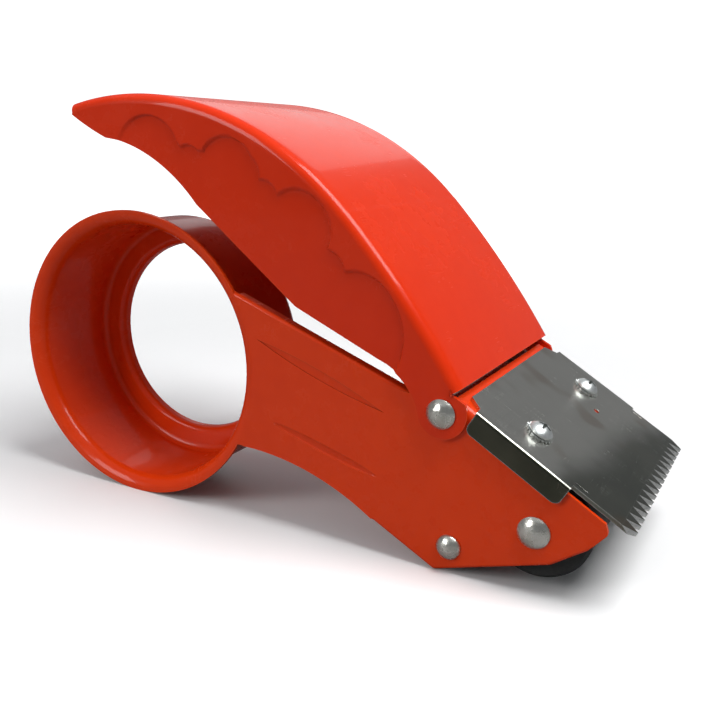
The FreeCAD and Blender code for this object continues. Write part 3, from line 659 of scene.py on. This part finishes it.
def punch(mesh, centre, radius, y_low, y_high):
    """A round hole in a grid of faces, between two distances across the tool."""
    middle = place(centre[0], 0, centre[1])
    reach = radius * MILLIMETRE
    walls = [
        vert
        for vert in mesh.verts
        if place(0, y_low, 0).y < vert.co.y < place(0, y_high, 0).y
    ]
    gap = {vert: math.hypot(vert.co.x - middle.x, vert.co.z - middle.z) for vert in walls}
    inside = [vert for vert in walls if gap[vert] < reach]
    corners = {v for vert in inside for face in vert.link_faces for v in face.verts}
    rim = [vert for vert in corners if gap.get(vert, 0.0) >= reach]
    bmesh.ops.delete(mesh, geom=inside, context="VERTS")
    for vert in rim:
        share = reach / gap[vert]
        vert.co.x = middle.x + (vert.co.x - middle.x) * share
        vert.co.z = middle.z + (vert.co.z - middle.z) * share


def make_cover():
    """Crown and two walls as one grid of points, given the sheet's thickness afterwards."""
    stations, down, bend, across = 250, 58, 7, 26
    crown, outward = crown_path(stations)
    bend_start = crown - outward * CROWN_BEND
    wall = wall_patch(bend_start, stations, down)
    flat = wall.reshape(-1, 2)
    share = np.clip(inside_depth(flat, scallop_outline()) / SCALLOP_STEP + 0.5, 0, 1)
    pressed = SCALLOP_DEPTH * (share * share * (3 - 2 * share))
    reach = np.clip((flat[:, 0] - SCALLOPS_FADE_FROM) / SCALLOPS_FADE_OVER, 0, 1)
    pressed = (pressed * reach).reshape(stations, down)
    rows = []
    for station in range(stations):
        row = []
        for step in reversed(range(down)):
            x, z = wall[station, step]
            row.append((x, COVER_NEAR + pressed[station, step], z))
        for step in range(1, bend + 1):
            lean = math.pi / 2 * step / bend
            out = CROWN_BEND * math.sin(lean)
            x, z = bend_start[station] + outward[station] * out
            row.append((x, COVER_NEAR + CROWN_BEND * (1 - math.cos(lean)), z))
        half = row[:]
        near_end = COVER_NEAR + CROWN_BEND
        far_end = COVER_FAR - CROWN_BEND
        for step in range(1, across):
            y = near_end + (far_end - near_end) * step / across
            row.append((crown[station, 0], y, crown[station, 1]))
        row += [(x, OUTSIDE - y, z) for x, y, z in reversed(half)]
        rows.append(row)
    mesh = bmesh.new()
    grid = [[mesh.verts.new(place(*point)) for point in row] for row in rows]
    for low, high in zip(grid, grid[1:]):
        for step in range(len(low) - 1):
            mesh.faces.new((low[step], high[step], high[step + 1], low[step + 1]))
    for centre, radius, low, high in (
        (PIVOT, PIVOT_HOLE, -BEYOND, OUTSIDE + BEYOND),
        (SPRING_HOOK, SPRING_HOLE, OUTSIDE / 2, OUTSIDE + BEYOND),
    ):
        punch(mesh, centre, radius, low, high)
    cover = new_piece("pressed_cover", mesh, "cover_enamel")
    sheet = cover.modifiers.new("sheet", "SOLIDIFY")
    sheet.thickness = SHEET * MILLIMETRE
    sheet.offset = -1.0
    settle(cover)
    smooth_by_angle(cover.data, 40)
    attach(cover, "cover")
    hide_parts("cover")


# ---- frame: the CAD pressing with softened edges and rounded beads --------------------------


def groove_cutter(start, end, half_width, depth):
    """A long egg that presses a rounded groove into the arm's outer face."""
    mesh = bmesh.new()
    bmesh.ops.create_uvsphere(mesh, u_segments=40, v_segments=48, radius=1.0)
    run = Vector((end[0] - start[0], 0, end[1] - start[1]))
    half = run.length / 2
    turn = Vector((0, 0, 1)).rotation_difference(run.normalized()).to_matrix()
    middle = place((start[0] + end[0]) / 2, 0, (start[1] + end[1]) / 2)
    across = turn.inverted() @ Vector((0, 1, 0))
    for vert in mesh.verts:
        local = vert.co.copy()
        deep = local.dot(across)
        side = local - across * deep
        side.z = 0
        flat = side * half_width + across * deep * depth
        vert.co = middle + (turn @ (flat + Vector((0, 0, local.z * half)))) * MILLIMETRE
    bmesh.ops.recalc_face_normals(mesh, faces=mesh.faces)
    return new_piece("groove_cutter", mesh, "frame_enamel")


UPPER_GROOVE = ((40.0, 10.75), (78.7, -2.95), 1.75, 0.5)
LOWER_GROOVE = ((46.4, -11.03), (76.5, -19.27), 1.15, 0.42)


def make_frame():
    body = new_piece("pressed_frame", merged_copy("frame"), "frame_enamel")
    cut_away(body, [groove_cutter(*UPPER_GROOVE), groove_cutter(*LOWER_GROOVE)])
    soften_edges(body, 0.16)
    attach(body, "frame")
    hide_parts("frame")


# ---- cutter plate and its ground teeth -----------------------------------------------------


def new_geometry_tree(name, inputs):
    """A Geometry Nodes tree with one geometry in and out and the named inputs."""
    tree = bpy.data.node_groups.new(name, "GeometryNodeTree")
    tree.interface.new_socket("Geometry", in_out="OUTPUT", socket_type="NodeSocketGeometry")
    tree.interface.new_socket("Geometry", in_out="INPUT", socket_type="NodeSocketGeometry")
    for label, kind in inputs.items():
        tree.interface.new_socket(label, in_out="INPUT", socket_type=f"NodeSocket{kind}")
    board = Board(tree)
    return tree, board, board.add("NodeGroupInput").outputs, board.add("NodeGroupOutput").inputs


def close_tree(board, given, result, geometry):
    real = board.add("GeometryNodeRealizeInstances", {"Geometry": geometry})
    named = {"Geometry": real.outputs[0], "Material": given["Material"]}
    painted = board.add("GeometryNodeSetMaterial", named)
    board.tree.links.new(painted.outputs[0], result["Geometry"])


def make_row_tree():
    """Repeats one piece along a straight line."""
    tree, board, given, result = new_geometry_tree(
        "row_of_pieces", {"Count": "Int", "Step": "Vector", "Material": "Material"}
    )
    line = board.add("GeometryNodeMeshLine", {"Count": given["Count"], "Offset": given["Step"]})
    named = {"Points": line.outputs[0], "Instance": given["Geometry"]}
    spread = board.add("GeometryNodeInstanceOnPoints", named)
    close_tree(board, given, result, spread.outputs[0])
    return tree


def make_ring_tree():
    """Repeats one piece round the Z axis, turned with the circle and slightly uneven."""
    tree, board, given, result = new_geometry_tree(
        "ring_of_pieces",
        {"Count": "Int", "Radius": "Float", "Unevenness": "Float", "Material": "Material"},
    )
    circle = board.add("GeometryNodeMeshCircle", {"Vertices": given["Count"], "Radius": given["Radius"]})
    one_turn = board.math("DIVIDE", 2 * math.pi, given["Count"])
    index = board.add("GeometryNodeInputIndex").outputs[0]
    turn = board.add("ShaderNodeCombineXYZ", {"Z": board.math("MULTIPLY", index, one_turn)})
    chance = board.add("FunctionNodeRandomValue", {"Seed": 7}, data_type="FLOAT")
    tree.links.new(board.math("SUBTRACT", 1.0, given["Unevenness"]), chance.inputs[2])
    tree.links.new(board.math("ADD", 1.0, given["Unevenness"]), chance.inputs[3])
    size = board.add("ShaderNodeCombineXYZ", {"X": chance.outputs[1], "Y": 1.0, "Z": 1.0})
    named = {"Points": circle.outputs[0], "Instance": given["Geometry"]}
    named.update({"Rotation": turn.outputs[0], "Scale": size.outputs[0]})
    spread = board.add("GeometryNodeInstanceOnPoints", named)
    close_tree(board, given, result, spread.outputs[0])
    return tree


def make_coil_tree():
    """A round wire wound into a coil along Z."""
    tree, board, given, result = new_geometry_tree(
        "wound_wire",
        {
            "Turns": "Float",
            "Radius": "Float",
            "Length": "Float",
            "Wire Radius": "Float",
            "Material": "Material",
        },
    )
    names = {"Resolution": 40, "Rotations": given["Turns"], "Height": given["Length"]}
    names.update({"Start Radius": given["Radius"], "End Radius": given["Radius"]})
    spiral = board.add("GeometryNodeCurveSpiral", names)
    section = board.add(
        "GeometryNodeCurvePrimitiveCircle", {"Resolution": 14, "Radius": given["Wire Radius"]}
    )
    named = {"Curve": spiral.outputs[0], "Profile Curve": section.outputs[0], "Fill Caps": True}
    tube = board.add("GeometryNodeCurveToMesh", named)
    close_tree(board, given, result, tube.outputs[0])
    return tree


def make_head_tree():
    """Two riveted heads that face out at the ends of a rod, each a dome with hammer marks."""
    tree, board, given, result = new_geometry_tree(
        "riveted_heads",
        {
            "Radius": "Float",
            "Height": "Float",
            "Brim": "Float",
            "Hammering": "Float",
            "Near End": "Float",
            "Far End": "Float",
            "Place": "Vector",
            "Material": "Material",
        },
    )
    blank = board.add(
        "GeometryNodeMeshCylinder",
        {"Vertices": 56, "Fill Segments": 14, "Radius": given["Radius"], "Depth": given["Brim"]},
        fill_type="TRIANGLE_FAN",
    )
    spot = board.add("GeometryNodeInputPosition").outputs[0]
    parts = board.add("ShaderNodeSeparateXYZ", {0: spot}).outputs
    square = board.math("MULTIPLY_ADD", parts[1], parts[1], board.math("MULTIPLY", parts[0], parts[0]))
    rise = board.math("SUBTRACT", given["Height"], given["Brim"])
    wide = board.math("MULTIPLY", given["Radius"], given["Radius"])
    sum_of_squares = board.math("MULTIPLY_ADD", rise, rise, wide)
    ball = board.math("DIVIDE", sum_of_squares, board.math("MULTIPLY", rise, 2.0))
    left = board.math("MAXIMUM", board.math("SUBTRACT", board.math("MULTIPLY", ball, ball), square), 0.0)
    lift = board.math("SUBTRACT", board.math("SQRT", left), board.math("SUBTRACT", ball, rise))
    dents = board.add("ShaderNodeTexNoise", {"Vector": spot, "Scale": 620.0, "Detail": 1.0})
    dent = board.math("MULTIPLY", board.math("SUBTRACT", dents.outputs[0], 0.62), given["Hammering"])
    middle = board.ramp(square, 0.0, wide, 1.0, 0.0)
    lift = board.math("MULTIPLY_ADD", dent, middle, lift)
    on_top = board.math("GREATER_THAN", parts[2], 0.0)
    move = board.add("ShaderNodeCombineXYZ", {"Z": board.math("MULTIPLY", lift, on_top)})
    dome = board.add("GeometryNodeSetPosition", {"Geometry": blank.outputs[0], "Offset": move.outputs[0]})
    ends = board.add("GeometryNodeJoinGeometry")
    for end, turn in (("Near End", math.pi / 2), ("Far End", -math.pi / 2)):
        shift = board.add("ShaderNodeCombineXYZ", {"Y": given[end]})
        at = board.add("ShaderNodeVectorMath", {0: given["Place"], 1: shift.outputs[0]}, operation="ADD")
        named = {"Geometry": dome.outputs[0], "Translation": at.outputs[0], "Rotation": (turn, 0.0, 0.0)}
        head = board.add("GeometryNodeTransform", named)
        tree.links.new(head.outputs[0], ends.inputs[0])
    close_tree(board, given, result, ends.outputs[0])
    return tree


TREES = {
    "row": make_row_tree(),
    "ring": make_ring_tree(),
    "coil": make_coil_tree(),
    "heads": make_head_tree(),
}


def grow(name, tree, seed_mesh, finish, **values):
    """Runs a tree on a mesh, and keeps what it makes as a plain mesh object."""
    obj = new_piece(name, seed_mesh, finish)
    grown = obj.modifiers.new(name, "NODES")
    grown.node_group = TREES[tree]
    values["Material"] = FINISH[finish]
    for item in TREES[tree].interface.items_tree:
        label = item.name.replace(" ", "_")
        if item.in_out == "INPUT" and label in values:
            grown[item.identifier] = values[label]
    return settle(obj)


def join(main, *others):
    """Makes several meshes one piece, with each one's own materials kept."""
    with bpy.context.temp_override(
        active_object=main, object=main, selected_editable_objects=[main, *others]
    ):
        bpy.ops.object.join()
    return main


TEETH = 17
BLADE_INSET = 1.1
BLADE_ROOT = 41.6
BLADE_TIP = 43.35
GROUND_FROM = 39.5
TIP_WIDTH = 0.2


def one_tooth(pitch):
    """A pointed tooth: a flat top that narrows to the tip, with a ground facet each side."""
    half, tip, blunt = pitch / 2, TIP_WIDTH / 2, BLADE_TIP - 0.1
    top = [(GROUND_FROM, -half), (GROUND_FROM, half), (blunt, 1.2 * tip), (blunt, -1.2 * tip)]
    base = [(GROUND_FROM, -half), (GROUND_FROM, half), (BLADE_ROOT, half), (BLADE_TIP, tip)]
    base += [(BLADE_TIP, -tip), (BLADE_ROOT, -half)]
    first = BLADE_INSET + half
    mesh = bmesh.new()
    up = [mesh.verts.new(deck_place(u, first + y, 0.0)) for u, y in top]
    down = [mesh.verts.new(deck_place(u, first + y, -SHEET)) for u, y in base]
    mesh.faces.new((up[0], up[3], up[2], up[1]))
    mesh.faces.new(down)
    mesh.faces.new((up[0], up[1], down[1], down[0]))
    mesh.faces.new((up[1], up[2], down[2]))
    mesh.faces.new((up[1], down[2], down[1]))
    mesh.faces.new((up[2], down[3], down[2]))
    mesh.faces.new((up[2], up[3], down[4], down[3]))
    mesh.faces.new((up[3], down[5], down[4]))
    mesh.faces.new((up[3], up[0], down[5]))
    mesh.faces.new((up[0], down[0], down[5]))
    bmesh.ops.recalc_face_normals(mesh, faces=mesh.faces)
    return mesh


def make_cutter_plate():
    """The folded sheet up to the grinding line, with the ground teeth set on past it."""
    mesh = merged_copy("cutter_plate")
    cut = bmesh.ops.bisect_plane(
        mesh,
        geom=mesh.verts[:] + mesh.edges[:] + mesh.faces[:],
        dist=1e-7,
        plane_co=deck_place(GROUND_FROM, 0, 0),
        plane_no=deck_place(1, 0, 0) - deck_place(0, 0, 0),
        clear_outer=True,
    )
    rim = [e for e in cut["geom_cut"] if isinstance(e, bmesh.types.BMEdge)]
    bmesh.ops.edgeloop_fill(mesh, edges=rim)
    plate = new_piece("cutter_plate_sheet", mesh, "blade")
    soften_edges(plate, 0.09)
    pitch = (OUTSIDE - 2 * BLADE_INSET) / TEETH
    step = Vector((0, pitch * MILLIMETRE, 0))
    teeth = grow("blade_teeth", "row", one_tooth(pitch), "blade", Count=TEETH, Step=step)
    ground = FINISH["ground"]
    teeth.data.materials.append(ground)
    up = (deck_place(0, 0, 1) - deck_place(0, 0, 0)).normalized()
    along = (deck_place(1, 0, 0) - deck_place(0, 0, 0)).normalized()
    for face in teeth.data.polygons:
        tilt = face.normal.dot(up)
        face.material_index = 1 if 0.05 < tilt < 0.999 or face.normal.dot(along) > 0.3 else 0
    plate = join(plate, teeth)
    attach(plate, "frame")
    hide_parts("cutter_plate")


# ---- fasteners, rods and spring -------------------------------------------------------------


SCREW_SPREAD = 22.5
SCREW_ALONG = 13.0
WASHER_TEETH = 18


def make_toothed_washers():
    """Shakeproof washers under the screw heads: a flat ring with a jagged edge."""
    up = (deck_place(0, 0, 1) - deck_place(0, 0, 0)).normalized()
    turn = Vector((0, 0, 1)).rotation_difference(up).to_matrix().to_4x4()
    for name, y in (("near", OUTSIDE / 2 - SCREW_SPREAD), ("far", OUTSIDE / 2 + SCREW_SPREAD)):
        mesh = bmesh.new()
        inner, outer, thick = 1.65, 3.15, 0.45
        around = 56
        loops = []
        for radius, z in ((inner, 0.04), (outer, 0.04), (outer, thick), (inner, thick)):
            loop = []
            for step in range(around):
                a = 2 * math.pi * step / around
                at = Vector((radius * math.cos(a), radius * math.sin(a), z)) * MILLIMETRE
                loop.append(mesh.verts.new(at))
            loops.append(loop)
        skin(mesh, loops + loops[:1])
        bmesh.ops.recalc_face_normals(mesh, faces=mesh.faces)
        ring = new_piece(f"washer_ring_{name}", mesh, "zinc")
        tooth = bmesh.new()
        points = [(-0.3, -0.26, 0.05), (-0.3, 0.26, 0.05), (0.52, 0.16, 0.05), (0.52, -0.16, 0.3)]
        points += [(-0.3, -0.26, 0.45), (-0.3, 0.26, 0.45), (0.52, 0.16, 0.42), (0.52, -0.16, 0.66)]
        verts = [tooth.verts.new(Vector(p) * MILLIMETRE) for p in points]
        quads = ((3, 2, 1, 0), (4, 5, 6, 7), (0, 1, 5, 4), (1, 2, 6, 5), (2, 3, 7, 6), (3, 0, 4, 7))
        for quad in quads:
            tooth.faces.new([verts[i] for i in quad])
        bmesh.ops.recalc_face_normals(tooth, faces=tooth.faces)
        teeth = grow(
            f"washer_teeth_{name}",
            "ring",
            tooth,
            "zinc",
            Count=WASHER_TEETH,
            Radius=(outer - 0.05) * MILLIMETRE,
            Unevenness=0.16,
        )
        washer = join(ring, teeth)
        washer.data.transform(Matrix.Translation(deck_place(SCREW_ALONG, y, 0.0)) @ turn)
        washer.name = f"toothed_washer_{name}"
        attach(washer, "frame")
        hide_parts(f"lock_washer_{name}")


def turned_mesh(profile, centre, around=48):
    """A solid of revolution about a shaft line, from a closed profile of (radius, y)."""
    mesh = bmesh.new()
    loops = []
    for radius, y in profile:
        loop = []
        for step in range(around):
            a = 2 * math.pi * step / around
            x, z = centre[0] + radius * math.cos(a), centre[1] + radius * math.sin(a)
            loop.append(mesh.verts.new(place(x, y, z)))
        loops.append(loop)
    skin(mesh, loops)
    mesh.faces.new(loops[0])
    mesh.faces.new(loops[-1])
    bmesh.ops.recalc_face_normals(mesh, faces=mesh.faces)
    return mesh


def make_rod(name, node, centre, head_radius, seat, hammering):
    """A shouldered rod with a riveted head at each end; seat is the gap under the heads."""
    rod, tail, shoulder, brim, height = 2.5, 2.2, 1.05, 0.35, 1.95
    profile = [(tail, -seat), (tail, shoulder), (rod, shoulder)]
    profile += [(radius, OUTSIDE - y) for radius, y in reversed(profile)]
    shaft = new_piece(name, turned_mesh(profile, centre), "rivet")
    heads = grow(
        f"{name}_heads",
        "heads",
        bmesh.new(),
        "rivet",
        Radius=head_radius * MILLIMETRE,
        Height=height * MILLIMETRE,
        Brim=brim * MILLIMETRE,
        Hammering=hammering * MILLIMETRE,
        Near_End=(-seat - brim / 2) * MILLIMETRE,
        Far_End=(OUTSIDE + seat + brim / 2) * MILLIMETRE,
        Place=place(centre[0], 0, centre[1]),
    )
    rod_piece = join(shaft, heads)
    smooth_by_angle(rod_piece.data, 40)
    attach(rod_piece, "frame")
    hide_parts(node)


def wire_mesh(points, radius):
    """A bent round wire through points of the working drawing."""
    data = bpy.data.curves.new("wire_run", "CURVE")
    data.dimensions = "3D"
    data.bevel_depth = radius * MILLIMETRE
    data.bevel_resolution = 4
    data.use_fill_caps = True
    spline = data.splines.new("POLY")
    spline.points.add(len(points) - 1)
    for spot, point in zip(spline.points, points):
        spot.co = (*place(*point), 1.0)
    holder = bpy.data.objects.new("wire_run", data)
    bpy.context.scene.collection.objects.link(holder)
    view = bpy.context.evaluated_depsgraph_get()
    mesh = bpy.data.meshes.new_from_object(holder.evaluated_get(view))
    bpy.data.objects.remove(holder)
    return mesh


def make_spring():
    """Torsion spring: its coil twists between the fixed leg and the leg hooked in the cover."""
    wire, coil, pitch, first_y, foot_length = 0.5, 3.15, 1.3, 48.0, 8.8
    start_lean, end_lean = math.radians(59.7), math.radians(35.0)
    turns = 7 + (end_lean - start_lean) / (2 * math.pi)
    last_y = first_y + pitch * turns
    spring = grow(
        "cover_torsion_spring",
        "coil",
        bmesh.new(),
        "spring",
        Turns=turns,
        Radius=coil * MILLIMETRE,
        Length=pitch * turns * MILLIMETRE,
        Wire_Radius=wire * MILLIMETRE,
    )
    lay_down = Matrix.Rotation(-start_lean, 4, "Y") @ Matrix.Rotation(-math.pi / 2, 4, "X")
    spring.data.transform(Matrix.Translation(place(PIVOT[0], first_y, PIVOT[1])) @ lay_down)

    def on_coil(lean, along):
        x = PIVOT[0] + coil * math.cos(lean) - along * math.sin(lean)
        z = PIVOT[1] + coil * math.sin(lean) + along * math.cos(lean)
        return x, z

    start, foot = on_coil(start_lean, 0), on_coil(start_lean, -foot_length)
    end = on_coil(end_lean, 0)
    hook_x, hook_z = SPRING_HOOK
    legs = [
        [(start[0], first_y, start[1]), (foot[0], first_y, foot[1])],
        [
            (end[0], last_y, end[1]),
            (hook_x + 0.25, last_y, hook_z - 0.6),
            (hook_x, last_y + 0.5, hook_z),
            (hook_x, OUTSIDE + 1.8, hook_z),
        ],
    ]
    parts = [new_piece("spring_leg", wire_mesh(leg, wire), "spring") for leg in legs]
    spring = join(spring, *parts)
    smooth_by_angle(spring.data, 60)
    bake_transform(spring)
    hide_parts("cover_spring")


make_cover()
make_frame()
make_cutter_plate()
make_toothed_washers()
make_rod("pivot_rod_riveted", "cover_pivot_rod", PIVOT, head_radius=3.6, seat=1.35, hammering=0.28)
make_rod("guide_rod_riveted", "guide_rod", GUIDE, head_radius=3.15, seat=0.05, hammering=0.34)
make_rod("axle_riveted", "roller_axle", AXLE, head_radius=3.9, seat=0.05, hammering=0.12)
make_spring()


# ---- studio -------------------------------------------------------------------------------


def make_floor():
    """A wide pale dish: flat under the tool, rising softly all round."""
    mesh = bmesh.new()
    flat, rise, steps, around = 1.1, 0.7, 12, 72
    rings = [(0.35, 0.0), (0.8, 0.0), (flat, 0.0)]
    for step in range(1, steps + 1):
        lean = math.radians(90 * step / steps)
        rings.append((flat + rise * math.sin(lean), rise * (1 - math.cos(lean))))
    rings.append((flat + rise, 1.6))
    loops = []
    for radius, height in rings:
        angles = [2 * math.pi * turn / around for turn in range(around)]
        loops.append(
            [mesh.verts.new((radius * math.cos(a), radius * math.sin(a), height)) for a in angles]
        )
    mesh.faces.new(loops[0])
    skin(mesh, loops)
    for face in mesh.faces:
        face.smooth = True
    bmesh.ops.recalc_face_normals(mesh, faces=mesh.faces)
    data = bpy.data.meshes.new("studio_floor")
    mesh.to_mesh(data)
    floor = bpy.data.objects.new("studio_floor", data)
    bpy.context.scene.collection.objects.link(floor)
    material, board, shader = new_finish("pale_floor", Roughness=0.6)
    cloud = use(board, "mottle", Broad_Scale=6.0, Fine_Scale=60.0, Fine_Share=0.3)["Value"]
    seen = board.blend(cloud, shade(0.93, 0.93, 0.93), shade(0.95, 0.95, 0.95))
    looked_at = board.add("ShaderNodeLightPath").outputs["Is Camera Ray"]
    distance = board.add("ShaderNodeVectorMath", {0: object_point(board)}, operation="LENGTH")
    far = board.ramp(distance.outputs["Value"], 0.6, 1.4)
    bounced = board.blend(far, shade(0.24, 0.24, 0.24), shade(0.62, 0.62, 0.62))
    feed(board, shader, Base_Color=board.blend(looked_at, bounced, seen))
    glow = board.ramp(distance.outputs["Value"], 0.16, 0.70, 0.0, 0.80)
    feed(board, shader, Emission_Strength=board.math("MULTIPLY", glow, looked_at))
    shader.inputs["Emission Color"].default_value = shade(1.0, 1.0, 1.0)
    data.materials.append(material)


def add_softbox(name, at, aim, size, power):
    data = bpy.data.lights.new(name, "AREA")
    data.shape = "RECTANGLE"
    data.size, data.size_y = size
    data.energy = power
    light = bpy.data.objects.new(name, data)
    light.location = at
    light.visible_camera = False
    light.rotation_euler = (Vector(aim) - Vector(at)).to_track_quat("-Z", "Y").to_euler()
    bpy.context.scene.collection.objects.link(light)


# Name, place, what it points at, size and power, in metres and watts.
SOFTBOXES = (
    ("key_box", (0.30, -0.02, 0.66), (0.02, 0.0, 0.04), (0.40, 0.40), 5.0),
    ("back_panel", (-0.42, 0.88, 0.52), (0.0, 0.0, 0.06), (0.62, 0.42), 0.55),
    ("window_box", (-0.42, -0.70, 0.42), (0.0, 0.0, 0.05), (0.30, 0.42), 2.4),
)


def make_studio():
    """Pale floor, three softboxes and a dim even sky."""
    make_floor()
    for softbox in SOFTBOXES:
        add_softbox(*softbox)
    world = bpy.data.worlds.new("studio_air")
    world.use_nodes = True
    background = world.node_tree.nodes["Background"]
    background.inputs["Color"].default_value = (0.93, 0.96, 1.0, 1.0)
    background.inputs["Strength"].default_value = 0.42
    bpy.context.scene.world = world
    bpy.context.scene.view_settings.view_transform = "Standard"


# Place in the working drawing, then degrees turned to the left, looking down and rolled.
CAMERA_AT = (164.6, -184.1, 62.9)
CAMERA_TURN = 27.01
CAMERA_DROP = 14.50
CAMERA_ROLL = 2.17
CAMERA_LENS = 44.36


def make_camera():
    data = bpy.data.cameras.new("camera")
    data.lens = CAMERA_LENS
    data.sensor_width = 36.0
    data.clip_start = 0.01
    camera = bpy.data.objects.new("camera", data)
    turn = Matrix.Rotation(math.radians(CAMERA_TURN), 4, "Z")
    tilt = Matrix.Rotation(math.radians(90 - CAMERA_DROP), 4, "X")
    roll = Matrix.Rotation(math.radians(CAMERA_ROLL), 4, "Z")
    camera.matrix_world = Matrix.Translation(place(*CAMERA_AT)) @ turn @ tilt @ roll
    bpy.context.scene.collection.objects.link(camera)
    bpy.context.scene.camera = camera


make_studio()
make_camera()
